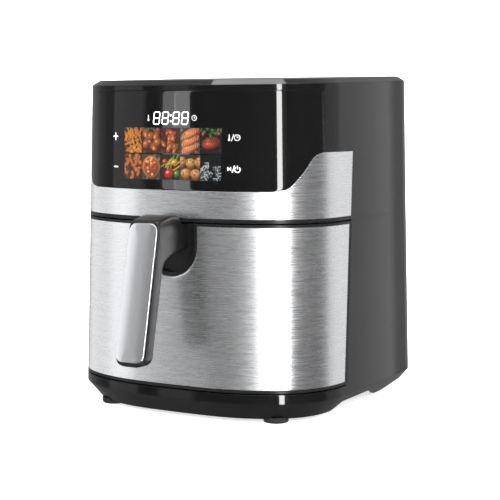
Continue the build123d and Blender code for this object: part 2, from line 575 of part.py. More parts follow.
# ------------------------------------------------------------ mains inlet
gland = cyl_y(72, 52, 144.25, 146.0, 11) + cyl_y(72, 52, 139, 144.5, 7.8) + cyl_y(72, 52, 137.8, 140.9, 10.5)
gland = gland - cyl_y(72, 52, 130, 150, 4.2)
save("cable_gland", gland)
tblk = box(34, 62, 119.1, 131, 56, 74)
for x in (41, 55):
    tblk = tblk - cyl(x, 126, 66, 80, 3.0) - cyl(x, 126, 50, 62, 2.4)
save("terminal_block", tblk)
save("terminal_screws", [screw_z(x, 126, 73.0, 67.0, r=1.2, rh=2.6, hh=1.8) for x in (41, 55)])
ml = []
for x in (50.5, 58.5):
    ml.append(tube([Vector(x, 128.5, 76.5), Vector(x, 128.5, 246.5), Vector(x, 118.0, 246.5), Vector(x, 118.0, 255.9)], 4.5, 1.7))
save("mains_wires", ml)

# ------------------------------------------------------------ drawer front
df = block((Z_DRW_LO, 0), (Z_DRW_HI, 0)) & front_wedge(Z_DRW_LO - 1, Z_DRW_HI + 1)
core = block((Z_DRW_LO - 5, 3.9), (Z_DRW_HI + 5, 3.9))
flange = block((Z_DRW_LO, 3.0), (Z_DRW_LO + 2.4, 3.0)) + block((Z_DRW_HI - 2.4, 3.0), (Z_DRW_HI, 3.0))
flange = flange & box(-200, 200, -260, BULK_Y - 0.1, 0, 300)
bosses = None
DF_SCREWS = [(sx * 104, z) for sx in (-1, 1) for z in (48, 110, 172)]
for x, z in DF_SCREWS:
    b_ = cyl_y(x, z, -150, BULK_Y - 0.1, 4)
    bosses = b_ if bosses is None else bosses + b_
bosses = bosses & block((10, 2.5), (240, 2.5))
df = df - core + flange + bosses
for x, z in DF_SCREWS:
    df = df - cyl_y(x, z, BULK_Y - 14, BULK_Y + 5, 1.2)
skin_room = (front_wedge(SKIN_LO - 0.15, SKIN_HI + 0.15, -2.8) & box(-200, 200, -260, 0, 0, 300)) - block((0, SKIN_T + 0.1), (240, SKIN_T + 0.1))
df = df - skin_room - u_prism(POCKET_R + 0.15, -160, -120)
save("drawer_front", df)

skin = block((SKIN_LO, 0), (SKIN_HI, 0)) - block((SKIN_LO - 3, SKIN_T), (SKIN_HI + 3, SKIN_T))
skin = skin & front_wedge(SKIN_LO, SKIN_HI, -3.0)
skin = skin - u_prism(POCKET_R + 0.1, -160, -120)
save("drawer_skin", skin)

pk = u_prism(POCKET_R, -160, -131.0, Z_DRW_HI) & block((60, -0.15), (Z_DRW_HI, -0.15))
pk = pk - u_prism(POCKET_IN, -170, -134.8)
for z in (170, 180):
    pk = pk - cyl_y(0, z, -140, -120, 1.7)
save("handle_pocket", pk)

bp = block((Z_DRW_LO + .3, 4.1), (Z_DRW_HI - .3, 4.1)) & box(-200, 200, BULK_Y, BULK_Y + 2.5, 0, 300)
for x, z in DF_SCREWS:
    bp = bp - cyl_y(x, z, BULK_Y - 10, BULK_Y + 10, 1.7)
PB_H = [(sx * 48, z) for sx in (-1, 1) for z in (70, 140)]
for x, z in PB_H:
    bp = bp - cyl_y(x, z, BULK_Y - 10, BULK_Y + 10, 1.7)
save("drawer_back_plate", bp)
save("drawer_screws", [cyl_y(x, z, BULK_Y - 12, BULK_Y + 2.3, 1.15) + cyl_y(x, z, BULK_Y + .9, BULK_Y + 2.3, 1.6)
                       for x, z in DF_SCREWS])

# ------------------------------------------------------------ handle
HB = [(-134.95, 186.2), (-143.6, 187.6), (-146.1, 192.4), (-150.5, 195.1), (-156, 195.7), (-162.3, 195.7), (-171, 194.0), (-184.5, 190.3),
      (-210.9, 64.6), (-210.2, 62.0), (-207.2, 60.9), (-198.5, 60.9), (-194.1, 64.6),
      (-177.7, 146.6), (-174.8, 151.9), (-168.8, 155.6), (-158.4, 158.7), (-138.4, 163.2), (-134.95, 164.0)]
hb = prism_x(HB, -HANDLE_HALF, HANDLE_HALF)
try:
    side_edges = [e for e in hb.edges() if abs(abs(e.center().X) - HANDLE_HALF) < 0.01 and e.center().Y < -150]
    hb = fillet(side_edges, 2.2)
except Exception as err:
    print("handle fillet", err)
# rounded lower corners, seen from the front
corner = 9.0
for sx in (-1, 1):
    hx = sx * HANDLE_HALF
    cut = box(*sorted((hx - sx * corner, hx + sx * 2)), -215, -188, 55, 60.9 + corner) \
        - cyl_y(hx - sx * corner, 60.9 + corner, -216, -187, corner)
    hb = hb - cut
for z in (170, 180):
    hb = hb - cyl_y(0, z, -143, -130, 1.3)
save("handle_body", hb)
ux, uz = (-210.9 + 184.5), (64.6 - 190.3)
ul = hypot(ux, uz)
ux, uz = ux / ul, uz / ul
ny, nz = uz, -ux
mid_ = ((-210.9 - 184.5) / 2 + ny * 0.05, (64.6 + 190.3) / 2 + nz * 0.05)
pl_plane = Plane(origin=(0, mid_[0], mid_[1]), x_dir=(1, 0, 0), z_dir=(0, ny, nz))
plate = extrude(pl_plane * RectangleRounded(2 * HANDLE_HALF - 1.0, ul - 1.0, 8.2), 1.5)
plate = fillet(plate.faces().sort_by(lambda f: -(f.center().Y * ny + f.center().Z * nz))[0].edges(), 0.7)
save("handle_plate", plate)
save("handle_screws", [screw_y(0, z, -128.8, -142, r=1.25, rh=3.0) for z in (170, 180)])

# ------------------------------------------------------------ pan and crisper plate
pw, pd = 2 * PAN_HALF, PAN_Y1 - PAN_Y0
pyc = (PAN_Y0 + PAN_Y1) / 2
outer = extrude(Pos(0, pyc, PAN_Z0) * RectangleRounded(pw, pd, PAN_R), PAN_Z1 - PAN_Z0)
outer = fillet(outer.faces().sort_by(Axis.Z)[0].edges(), 9)
inner = extrude(Pos(0, pyc, PAN_Z0 + PAN_T) * RectangleRounded(pw - 2 * PAN_T, pd - 2 * PAN_T, PAN_R - PAN_T), 200)
inner = fillet(inner.faces().sort_by(Axis.Z)[0].edges(), 7.8)
lip = extrude(Pos(0, pyc, PAN_Z1 - PAN_T) * RectangleRounded(pw + 11, pd + 11, PAN_R + 5.5), PAN_T) & box(-150, 150, PAN_Y0 + 6, 150, 100, 200)
pan = outer + lip - inner
for x, z in PB_H:
    pan = pan - cyl_y(x, z, PAN_Y0 - 5, PAN_Y0 + 5, 1.7)
save("pan", pan)

brk = box(-60, 60, BULK_Y - 1.6, BULK_Y - 0.1, 60, 150)
brk = fillet(brk.edges().filter_by(Axis.Y), 6)
brk = brk - box(-34, 34, BULK_Y - 10, BULK_Y + 10, 84, 126)
for x, z in PB_H:
    brk = brk - cyl_y(x, z, BULK_Y - 10, BULK_Y + 10, 1.7)
save("pan_bracket", brk)
save("pan_screws", [screw_y(x, z, BULK_Y - 3.7, PAN_Y0 + 1.1, r=1.5) for x, z in PB_H])

CZ = 54.0
cw, cd = pw - 2 * PAN_T - 5, pd - 2 * PAN_T - 5
cp = extrude(Pos(0, pyc, CZ) * RectangleRounded(cw, cd, PAN_R - 4), 1.6)
rim = extrude(Pos(0, pyc, CZ - 4) * RectangleRounded(cw, cd, PAN_R - 4), 4.1) - extrude(Pos(0, pyc, CZ - 5) * RectangleRounded(cw - 2.4, cd - 2.4, PAN_R - 5.2), 6)
cp = cp + rim
holes = []
for i in range(-4, 5):
    for j in range(-4, 5):
        if abs(i) == 4 and abs(j) == 4:
            continue
        if i == 0 and j == 0:
            continue
        holes.append(cyl(i * 20.5, pyc + j * 19.0, CZ - 1, CZ + 3, 4.6))
cp = cp - Compound(children=holes)
FEET = [(sx * 90, pyc + sy * 77) for sx in (-1, 1) for sy in (-1, 1)]
for x, y in FEET:
    cp = cp - cyl(x, y, CZ - 1, CZ + 3, 2.3)
loop = Pos(0, pyc, CZ + 4.5) * Rot(90, 0, 0) * Torus(9, 1.6)
cp = cp + (loop & box(-20, 20, pyc - 5, pyc + 5, CZ + .2, CZ + 30))
save("crisper_plate", cp)
bump = []
for x, y in FEET:
    b_ = cyl(x, y, 42.6, CZ - .05, 6) + cyl(x, y, CZ - .1, CZ + 1.7, 2.2) + cyl(x, y, CZ + 1.65, CZ + 3.6, 4.2)
    bump.append(b_)
save("plate_bumpers", bump)
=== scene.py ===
import bpy, bmesh, math, random
import numpy as np
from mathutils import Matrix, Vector


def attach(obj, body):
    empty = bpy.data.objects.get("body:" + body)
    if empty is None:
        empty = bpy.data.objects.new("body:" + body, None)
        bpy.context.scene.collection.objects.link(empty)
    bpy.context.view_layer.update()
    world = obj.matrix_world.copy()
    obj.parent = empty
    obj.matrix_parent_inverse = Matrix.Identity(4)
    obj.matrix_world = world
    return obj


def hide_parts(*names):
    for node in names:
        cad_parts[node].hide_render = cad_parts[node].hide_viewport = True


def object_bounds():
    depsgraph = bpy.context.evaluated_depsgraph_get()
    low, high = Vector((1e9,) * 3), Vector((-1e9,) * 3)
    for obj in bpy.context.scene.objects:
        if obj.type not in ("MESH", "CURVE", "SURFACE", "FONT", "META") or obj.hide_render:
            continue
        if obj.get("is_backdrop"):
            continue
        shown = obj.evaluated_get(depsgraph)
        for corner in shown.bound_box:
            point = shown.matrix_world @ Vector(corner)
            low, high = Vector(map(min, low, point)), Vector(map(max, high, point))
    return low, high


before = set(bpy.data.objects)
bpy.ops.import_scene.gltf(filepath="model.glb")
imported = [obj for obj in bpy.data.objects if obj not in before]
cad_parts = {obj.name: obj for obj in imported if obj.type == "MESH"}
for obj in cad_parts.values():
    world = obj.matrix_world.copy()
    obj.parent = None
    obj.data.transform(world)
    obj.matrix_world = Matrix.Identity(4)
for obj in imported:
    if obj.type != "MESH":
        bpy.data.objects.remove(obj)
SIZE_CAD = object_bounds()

MM = 0.001
YS = 32.6            # shift from the body's own centre to the shared frame, mm

# ---------------------------------------------------------------- outline of the body
H, HALF_W, HALF_D = 320.0, 135.1, 138.6
FLS, FLF, FLR = 0.0214, 0.0118, 0.0197
R2, R3, RR = 140.0, 80.4, 45.3
A1, A2, ST, SS = math.radians(3), math.radians(28.94), math.radians(2.42), 2.05
_tables = {}


def table(z):
    """Right half of the outline at height z: arc length, x, y, direction of the normal."""
    key = round(z, 3)
    if key in _tables:
        return _tables[key]
    d = H - z
    a = HALF_W + FLS * d
    yf = -HALF_D - FLF * d
    yb = HALF_D + FLR * d
    b = math.pi / 2 - ST
    r1 = (a - SS - R2 * (math.sin(A2) - math.sin(A1)) - R3 * (math.sin(b) - math.sin(A2))) / math.sin(A1)
    xs, ys, ts = [], [], []
    p = (0.0, yf)
    for r, t0, t1, n in ((r1, 0, A1, 40), (R2, A1, A2, 60), (R3, A2, b, 120)):
        t = np.linspace(t0, t1, n, endpoint=False)
        xs.append(p[0] + r * (np.sin(t) - math.sin(t0)))
        ys.append(p[1] + r * (math.cos(t0) - np.cos(t)))
        ts.append(t)
        p = (p[0] + r * (math.sin(t1) - math.sin(t0)), p[1] + r * (math.cos(t0) - math.cos(t1)))
    yend = yb - RR * (1 - math.sin(ST))
    rs = (yend - p[1]) / 2 / math.sin(ST)
    c = (p[0] - rs * math.cos(ST), (p[1] + yend) / 2)
    t = np.linspace(-ST, ST, 160, endpoint=False)
    xs.append(c[0] + rs * np.cos(t)); ys.append(c[1] + rs * np.sin(t)); ts.append(math.pi / 2 + t)
    c = (p[0] - RR * math.cos(ST), yend - RR * math.sin(ST))
    t = np.linspace(ST, math.pi / 2, 60)
    xs.append(c[0] + RR * np.cos(t)); ys.append(c[1] + RR * np.sin(t)); ts.append(math.pi / 2 + t)
    x, y, t = np.concatenate(xs), np.concatenate(ys), np.concatenate(ts)
    s = np.concatenate([[0], np.cumsum(np.hypot(np.diff(x), np.diff(y)))])
    _tables[key] = (s, x, y, t)
    return _tables[key]


def at(s, z, inset=0.0):
    """Point of the body's side at arc length s from the front centre, moved inwards by inset (mm)."""
    S, X, Y, T = table(z)
    q = abs(s)
    x, y, t = np.interp(q, S, X), np.interp(q, S, Y), np.interp(q, S, T)
    x -= inset * math.sin(t)
    y += inset * math.cos(t)
    return (math.copysign(x, s) if s else 0.0, y, z)


def s_of_x(x, z):
    S, X, Y, T = table(z)
    n = 220
    return math.copysign(float(np.interp(abs(x), X[:n], S[:n])), x)


def s_of_y(y, z):
    """Arc length at which the right side reaches depth y."""
    S, X, Y, T = table(z)
    return float(np.interp(y, Y[:380], S[:380]))


def front_y(x, z):
    S, X, Y, T = table(round(z, 1))
    return float(np.interp(abs(x), X[:200], Y[:200]))


S_PTS = np.array([(-19.6, 217.9), (-9.3, 218.8), (1.2, 222.5), (7.5, 229.1), (15.8, 238.4),
                  (21.8, 247.0), (29.9, 252.5), (37.6, 254.0)])


def _natural(px, py):
    """Cubic spline with level ends through the points."""
    n = len(px)
    A = np.zeros((n, n)); B = np.zeros(n)
    h = np.diff(px)
    A[0, 0], A[0, 1], B[0] = 2 * h[0], h[0], 6 * ((py[1] - py[0]) / h[0])
    A[-1, -1], A[-1, -2], B[-1] = 2 * h[-1], h[-1], 6 * (-(py[-1] - py[-2]) / h[-1])
    for i in range(1, n - 1):
        A[i, i - 1], A[i, i], A[i, i + 1] = h[i - 1], 2 * (h[i - 1] + h[i]), h[i]
        B[i] = 6 * ((py[i + 1] - py[i]) / h[i] - (py[i] - py[i - 1]) / h[i - 1])
    return np.linalg.solve(A, B)


_M2 = _natural(S_PTS[:, 0], S_PTS[:, 1])


def s_curve(u):
    px, py = S_PTS[:, 0], S_PTS[:, 1]
    if u <= px[0]:
        return py[0]
    if u >= px[-1]:
        return py[-1]
    i = int(np.searchsorted(px, u)) - 1
    h = px[i + 1] - px[i]
    a, b = (px[i + 1] - u) / h, (u - px[i]) / h
    return a * py[i] + b * py[i + 1] + ((a ** 3 - a) * _M2[i] + (b ** 3 - b) * _M2[i + 1]) * h * h / 6


def z_of_s(s):
    """Height of the S-shaped seam at arc length s."""
    z = 235.0
    for _ in range(5):
        x, y, _z = at(abs(s), z)
        z = s_curve((x + y) / math.sqrt(2))
    return z


def edge_y(z, off=0.0):
    return -49.1 + 0.0871 * z + off


# ---------------------------------------------------------------- materials
def new_mat(name):
    m = bpy.data.materials.new(name)
    m.use_nodes = True
    nt = m.node_tree
    b = nt.nodes["Principled BSDF"]
    return m, nt, b


def coords(nt, scale):
    tc = nt.nodes.new("ShaderNodeTexCoord")
    mp = nt.nodes.new("ShaderNodeMapping")
    mp.inputs["Scale"].default_value = scale
    nt.links.new(tc.outputs["Object"], mp.inputs["Vector"])
    return mp.outputs["Vector"]


def noise(nt, vec, scale, detail=3.0, rough=0.5):
    n = nt.nodes.new("ShaderNodeTexNoise")
    n.inputs["Scale"].default_value = scale
    n.inputs["Detail"].default_value = detail
    n.inputs["Roughness"].default_value = rough
    nt.links.new(vec, n.inputs["Vector"])
    return n.outputs["Fac"]


def ramp(nt, fac, stops, interp="LINEAR"):
    r = nt.nodes.new("ShaderNodeValToRGB")
    r.color_ramp.interpolation = interp
    el = r.color_ramp.elements
    while len(el) < len(stops):
        el.new(0.5)
    for e, (p, c) in zip(el, stops):
        e.position = p
        e.color = (c[0], c[1], c[2], 1) if len(c) == 3 else c
    nt.links.new(fac, r.inputs["Fac"])
    return r.outputs["Color"]


def maprange(nt, fac, lo, hi, a=0.0, b=1.0):
    m = nt.nodes.new("ShaderNodeMapRange")
    m.inputs["From Min"].default_value = a
    m.inputs["From Max"].default_value = b
    m.inputs["To Min"].default_value = lo
    m.inputs["To Max"].default_value = hi
    nt.links.new(fac, m.inputs["Value"])
    return m.outputs["Result"]


def bump(nt, bsdf, height, strength, distance, bevel=0.0):
    b = nt.nodes.new("ShaderNodeBump")
    b.inputs["Strength"].default_value = strength
    b.inputs["Distance"].default_value = distance
    nt.links.new(height, b.inputs["Height"])
    if bevel:
        v = nt.nodes.new("ShaderNodeBevel")
        v.samples = 3
        v.inputs["Radius"].default_value = bevel
        nt.links.new(v.outputs["Normal"], b.inputs["Normal"])
    nt.links.new(b.outputs["Normal"], bsdf.inputs["Normal"])


def plastic(name, lo, hi, r0, r1, scale=220, bump_s=0.05, bump_d=0.00004, bevel=0.0006, coat=0.0, spec=0.5, metallic=0.0):
    m, nt, b = new_mat(name)
    v = coords(nt, (1, 1, 1))
    n1 = noise(nt, v, scale, 4)
    n2 = noise(nt, v, 9, 3)
    nt.links.new(ramp(nt, n2, [(0.25, lo), (0.75, hi)]), b.inputs["Base Color"])
    nt.links.new(maprange(nt, n1, r0, r1, 0.3, 0.7), b.inputs["Roughness"])
    b.inputs["Metallic"].default_value = metallic
    b.inputs["Specular IOR Level"].default_value = spec
    b.inputs["Coat Weight"].default_value = coat
    bump(nt, b, n1, bump_s, bump_d, bevel)
    return m


def brushed(name, lo, hi, r0, r1, scale_v, aniso=0.6, radial=True, bump_s=0.2, bump_d=0.00003, bevel=0.0003, metallic=1.0):
    """Metal with fine lines; scale_v is the stretch of the grain in X, Y, Z."""
    m, nt, b = new_mat(name)
    v = coords(nt, scale_v)
    n1 = noise(nt, v, 1.0, 5, 0.65)
    v2 = coords(nt, tuple(k * 0.32 for k in scale_v))
    n2 = noise(nt, v2, 1.0, 2, 0.5)
    mix = nt.nodes.new("ShaderNodeMath"); mix.operation = "ADD"
    half = nt.nodes.new("ShaderNodeMath"); half.operation = "MULTIPLY"; half.inputs[1].default_value = 0.5
    nt.links.new(n1, mix.inputs[0]); nt.links.new(n2, mix.inputs[1]); nt.links.new(mix.outputs[0], half.inputs[0])
    f = half.outputs[0]
    nt.links.new(ramp(nt, f, [(0.36, lo), (0.64, hi)]), b.inputs["Base Color"])
    nt.links.new(maprange(nt, f, r0, r1, 0.35, 0.65), b.inputs["Roughness"])
    b.inputs["Metallic"].default_value = metallic
    b.inputs["Anisotropic"].default_value = aniso
    t = nt.nodes.new("ShaderNodeTangent"); t.direction_type = "RADIAL"; t.axis = "Z" if radial else "X"
    nt.links.new(t.outputs["Tangent"], b.inputs["Tangent"])
    if bump_s:
        bump(nt, b, f, bump_s, bump_d, bevel)
    return m


g = lambda v: (v, v, v * 1.03)
M = {}
M["gloss_black_plastic"] = plastic("gloss_black_plastic", g(0.0030), g(0.0040), 0.035, 0.06, 260, 0.012, 0.00002, 0.0009)
M["panel_black"] = plastic("panel_black", g(0.0026), g(0.0034), 0.02, 0.035, 260, 0.006, 0.00002, 0.0005)
M["black_plastic"] = plastic("black_plastic", g(0.0065), g(0.0090), 0.27, 0.33, 2600, 0.03, 0.00001, 0.0010, spec=0.34)
M["brushed_steel"] = brushed("brushed_steel", (0.655, 0.662, 0.675), (0.80, 0.808, 0.822), 0.235, 0.31, (95, 95, 3000), 0.45, True, 0.07, 0.000010, 0.0, metallic=0.97)
M["satin_steel"] = brushed("satin_steel", (0.72, 0.73, 0.75), (0.745, 0.755, 0.775), 0.235, 0.25, (1500, 1500, 6), 0.0, True, 0.0, 0.0, 0.0, metallic=0.97)
M["rubber"] = plastic("rubber", g(0.010), g(0.018), 0.6, 0.75, 700, 0.25, 0.00005, 0.0006)
M["sheet_steel"] = brushed("sheet_steel", (0.42, 0.43, 0.44), (0.58, 0.59, 0.60), 0.34, 0.48, (60, 60, 300), 0.2, True, 0.1, 0.00003, 0.0004)
M["screw_steel"] = plastic("screw_steel", (0.46, 0.46, 0.47), (0.60, 0.60, 0.61), 0.22, 0.34, 500, 0.05, 0.00002, 0.0002, metallic=1.0)
M["element_sheath"] = plastic("element_sheath", (0.13, 0.12, 0.12), (0.26, 0.24, 0.24), 0.42, 0.6, 400, 0.2, 0.00004, 0.0002, metallic=0.8)
M["laminations"] = brushed("laminations", (0.20, 0.21, 0.22), (0.38, 0.39, 0.41), 0.35, 0.5, (4, 4, 2200), 0.2, True, 0.3, 0.00004, 0.0002)
M["copper_windings"] = brushed("copper_windings", (0.45, 0.18, 0.07), (0.80, 0.42, 0.22), 0.25, 0.4, (8, 8, 1800), 0.2, True, 0.35, 0.00006, 0.0002)
M["fan_aluminium"] = brushed("fan_aluminium", (0.60, 0.61, 0.62), (0.78, 0.785, 0.79), 0.28, 0.4, (30, 30, 300), 0.2, True, 0.08, 0.00003, 0.0003)
M["fan_plastic"] = plastic("fan_plastic", (0.48, 0.48, 0.44), (0.58, 0.58, 0.54), 0.35, 0.5, 300, 0.06, 0.00003, 0.0005)
M["circuit_board"] = plastic("circuit_board", (0.010, 0.085, 0.030), (0.030, 0.17, 0.065), 0.3, 0.45, 1200, 0.2, 0.00004, 0.0002)
M["board_parts"] = plastic("board_parts", (0.03, 0.032, 0.045), (0.11, 0.115, 0.14), 0.3, 0.5, 300, 0.08, 0.00003, 0.0004)
M["display_black"] = plastic("display_black", g(0.003), g(0.005), 0.08, 0.12, 300, 0.01, 0.00002, 0.0004)
M["ribbon"] = brushed("ribbon", (0.45, 0.45, 0.44), (0.75, 0.75, 0.73), 0.45, 0.55, (900, 2, 2), 0.0, True, 0.2, 0.00004, 0.0002)
M["ribbon"].node_tree.nodes["Principled BSDF"].inputs["Metallic"].default_value = 0.0
M["lead_insulation"] = plastic("lead_insulation", (0.42, 0.04, 0.025), (0.62, 0.07, 0.045), 0.45, 0.6, 400, 0.1, 0.00004, 0.0004)
M["sensor_metal"] = plastic("sensor_metal", (0.52, 0.52, 0.52), (0.68, 0.68, 0.68), 0.2, 0.32, 400, 0.04, 0.00002, 0.0003, metallic=1.0)
M["nonstick"] = plastic("nonstick", (0.018, 0.018, 0.02), (0.042, 0.042, 0.045), 0.30, 0.45, 1500, 0.3, 0.00004, 0.0008)
M["silicone"] = plastic("silicone", g(0.022), g(0.040), 0.5, 0.65, 300, 0.1, 0.00004, 0.0005)

for name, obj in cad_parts.items():
    for slot in obj.material_slots:
        key = slot.material.name.split(".")[0] if slot.material else ""
        if key in M:
            slot.material = M[key]
        else:
            print("NO MATERIAL", name, key)

# ---------------------------------------------------------------- mesh helpers


def make(name, verts, faces, mat, body, smooth=True, uvs=None):
    me = bpy.data.meshes.new(name)
    me.from_pydata([(v[0] * MM, (v[1] + YS) * MM, v[2] * MM) for v in verts], [], faces)
    bm = bmesh.new(); bm.from_mesh(me)
    bmesh.ops.recalc_face_normals(bm, faces=bm.faces)
    bm.to_mesh(me); bm.free()
    me.update()
    if smooth:
        me.shade_smooth()
    ob = bpy.data.objects.new(name, me)
    bpy.context.scene.collection.objects.link(ob)
    me.materials.append(mat)
    if body:
        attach(ob, body)
    return ob


def shell(name, cols, mat, body, thick, rnd):
    """Thin curved sheet. cols: list of (rows) where a row is (s, z, distance to the nearest edge) or None;
    all columns have the same number of rows. The edges are rounded by rnd."""
    nc, nr = len(cols), len(cols[0])
    verts, idx = [], {}
    back = {}
    for j, col in enumerate(cols):
        for i, c in enumerate(col):
            if c is None:
                continue
            s, z, d = c
            ins = 0.0 if d >= rnd else rnd - math.sqrt(max(0.0, rnd * rnd - (rnd - d) ** 2))
            idx[j, i] = len(verts)
            verts.append(at(s, z, ins))
    for j, col in enumerate(cols):
        for i, c in enumerate(col):
            if c is None:
                continue
            back[j, i] = len(verts)
            verts.append(at(c[0], c[1], thick))
    faces, count = [], {}
    for j in range(nc - 1):
        for i in range(nr - 1):
            q = [(j, i), (j + 1, i), (j + 1, i + 1), (j, i + 1)]
            if not all(k in idx for k in q):
                continue
            faces.append([idx[k] for k in q])
            faces.append([back[k] for k in q][::-1])
            for a, b in zip(q, q[1:] + q[:1]):
                count[(a, b)] = count.get((a, b), 0) + 1
    for (a, b) in count:
        if (b, a) not in count:
            faces.append([idx[b], idx[a], back[a], back[b]])
    ob = make(name, verts, faces, mat, body)
    return ob


EDGE = [0.0, 0.06, 0.16, 0.3, 0.5]


def spaced(a, b, n, pad=EDGE):
    """Positions from a to b, with close ones near both ends."""
    lo = [a + e for e in pad]
    hi = [b - e for e in pad][::-1]
    mid = list(np.linspace(a + pad[-1], b - pad[-1], n + 2)[1:-1])
    return lo + mid + hi


def sheet_piece(name, z_lo, z_hi, y_end, mat, body, thick, rnd, n_half=90, rows=26, keep_s=None):
    """Sheet wrapped round the front; z_lo and z_hi are functions of the arc length, y_end of the height."""
    zmid = 0.5 * (z_lo(0) + z_hi(0))
    smax = s_of_y(y_end(zmid), zmid)
    f = [k / smax for k in spaced(-smax, smax, 2 * n_half)]
    cols = []
    for fr in f:
        s0 = fr * smax
        a, b = z_lo(s0), z_hi(s0)
        col = []
        for z in spaced(a, b, rows):
            se = s_of_y(y_end(z), z)
            s = fr * se
            d = min(z - a, b - z, (1 - abs(fr)) * se)
            col.append((s, z, max(0.0, d)))
        cols.append(col)
    return shell(name, cols, mat, body, thick, rnd)


# ---------------------------------------------------------------- stainless band and control panel
band = sheet_piece("band_sheet", lambda s: 192.2, lambda s: z_of_s(s) - 0.1, lambda z: edge_y(z), M["brushed_steel"], "housing", 0.8, 0.35, 120, 24)
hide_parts("steel_band")
panel = sheet_piece("panel_shell", lambda s: z_of_s(s) + 0.1, lambda s: 310.5, lambda z: -78.5, M["panel_black"], "housing", 2.5, 0.5, 120, 40)
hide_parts("control_panel")

# ---------------------------------------------------------------- stainless skin of the drawer, with its U-shaped cut-out
U_R, U_Z = 29.1, 166.4
SK_LO, SK_HI = 33.9, 184.8


def skin_columns():
    lower_n, upper_n = 34, 10
    cols = []
    z_side = 110.0

    def column(fr_s, zmid, full, s_fn):
        col = []
        low = [SK_LO + e for e in EDGE] + list(np.linspace(SK_LO + 0.5, zmid, lower_n + 2)[1:])
        for z in low:
            s = s_fn(z)
            col.append((s, z))
        if full:
            for z in [zmid + (SK_HI - 0.5 - zmid) * k / upper_n for k in range(1, upper_n + 1)] + [SK_HI - e for e in EDGE[:-1]][::-1]:
                col.append((s_fn(z), z))
        else:
            col += [None] * (upper_n + len(EDGE) - 1)
        return col

    fr_outer = []
    smax_ref = s_of_y(edge_y(z_side, -3.0), z_side)
    s_in = s_of_x(U_R, U_Z)
    outer = [s_in + e for e in (0, 0.06, 0.16, 0.3, 0.5)] + list(np.linspace(s_in + 0.5, smax_ref - 0.5, 92)[1:-1]) + [smax_ref - e for e in EDGE][::-1]

    def outer_fn(s0, sign):
        # inner side stays at constant x, outer side follows the inclined edge
        def fn(z):
            se = s_of_y(edge_y(z, -3.0), z)
            a = s_of_x(U_R, z)
            k = (s0 - s_in) / (smax_ref - s_in)
            return sign * (a + k * (se - a))
        return fn

    result = []
    for s0 in outer[::-1]:
        result.append(column(s0, U_Z, True, outer_fn(s0, -1)))
    n_u = 28
    for k in range(1, n_u):
        phi = math.pi * k / n_u
        x = -U_R * math.cos(phi)
        zt = U_Z - U_R * math.sin(phi)
        result.append(column(x, zt, False, (lambda x: (lambda z: s_of_x(x, z)))(x)))
    for s0 in outer:
        result.append(column(s0, U_Z, True, outer_fn(s0, 1)))
    out = []
    for col in result:
        new = []
        for c in col:
            if c is None:
                new.append(None)
                continue
            s, z = c
            se = s_of_y(edge_y(z, -3.0), z)
            d = min(z - SK_LO, SK_HI - z, se - abs(s))
            x = at(s, z)[0]
            du = (math.hypot(x, z - U_Z) if z < U_Z else abs(x)) - U_R
            new.append((s, z, max(0.0, min(d, du))))
        out.append(new)
    # the columns beside the cut-out keep their upper part on the outer side only
    return out


skin = shell("skin_sheet", skin_columns(), M["brushed_steel"], "drawer", 0.8, 0.35)
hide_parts("drawer_skin")

# ---------------------------------------------------------------- handle
HAND_HALF, HAND_R = 15.9, 9.0
OUTER = [(-134.95, 186.2), (-139.5, 186.7), (-143.6, 187.9), (-146.4, 191.6), (-150.5, 194.6), (-156, 195.6), (-162.3, 195.7), (-168.5, 194.9), (-174, 193.6),
         (-179.5, 192.3), (-183.2, 190.9), (-185.3, 187.6), (-187.6, 176.5), (-193.0, 150.0), (-199.5, 119.0), (-205.8, 89.0), (-209.6, 71.0), (-210.9, 64.6), (-210.6, 62.3), (-208.9, 61.0)]
INNER = [(-134.95, 164.0), (-138.4, 163.2), (-143.0, 162.1), (-148.0, 161.0), (-153.0, 159.9), (-158.4, 158.7), (-163.0, 157.5), (-167.2, 156.1), (-170.2, 154.7),
         (-172.9, 153.0), (-174.8, 151.2), (-176.2, 149.0), (-177.7, 145.4), (-181.5, 127.0), (-186.2, 103.6), (-190.6, 81.9), (-193.2, 69.0), (-194.3, 64.0), (-195.6, 61.9), (-198.5, 60.9)]


def resample(pts, n):
    """Smooth curve through points, n samples, close to even in the index."""
    p = np.array(pts)
    t = np.arange(len(p))
    k = np.linspace(0, len(p) - 1, n)
    out = []
    for q in k:
        i = min(int(q), len(p) - 2); f = q - i
        p0, p1, p2, p3 = p[max(i - 1, 0)], p[i], p[i + 1], p[min(i + 2, len(p) - 1)]
        out.append(0.5 * ((2 * p1) + (-p0 + p2) * f + (2 * p0 - 5 * p1 + 4 * p2 - p3) * f * f + (-p0 + 3 * p1 - 3 * p2 + p3) * f ** 3))
    return np.array(out)


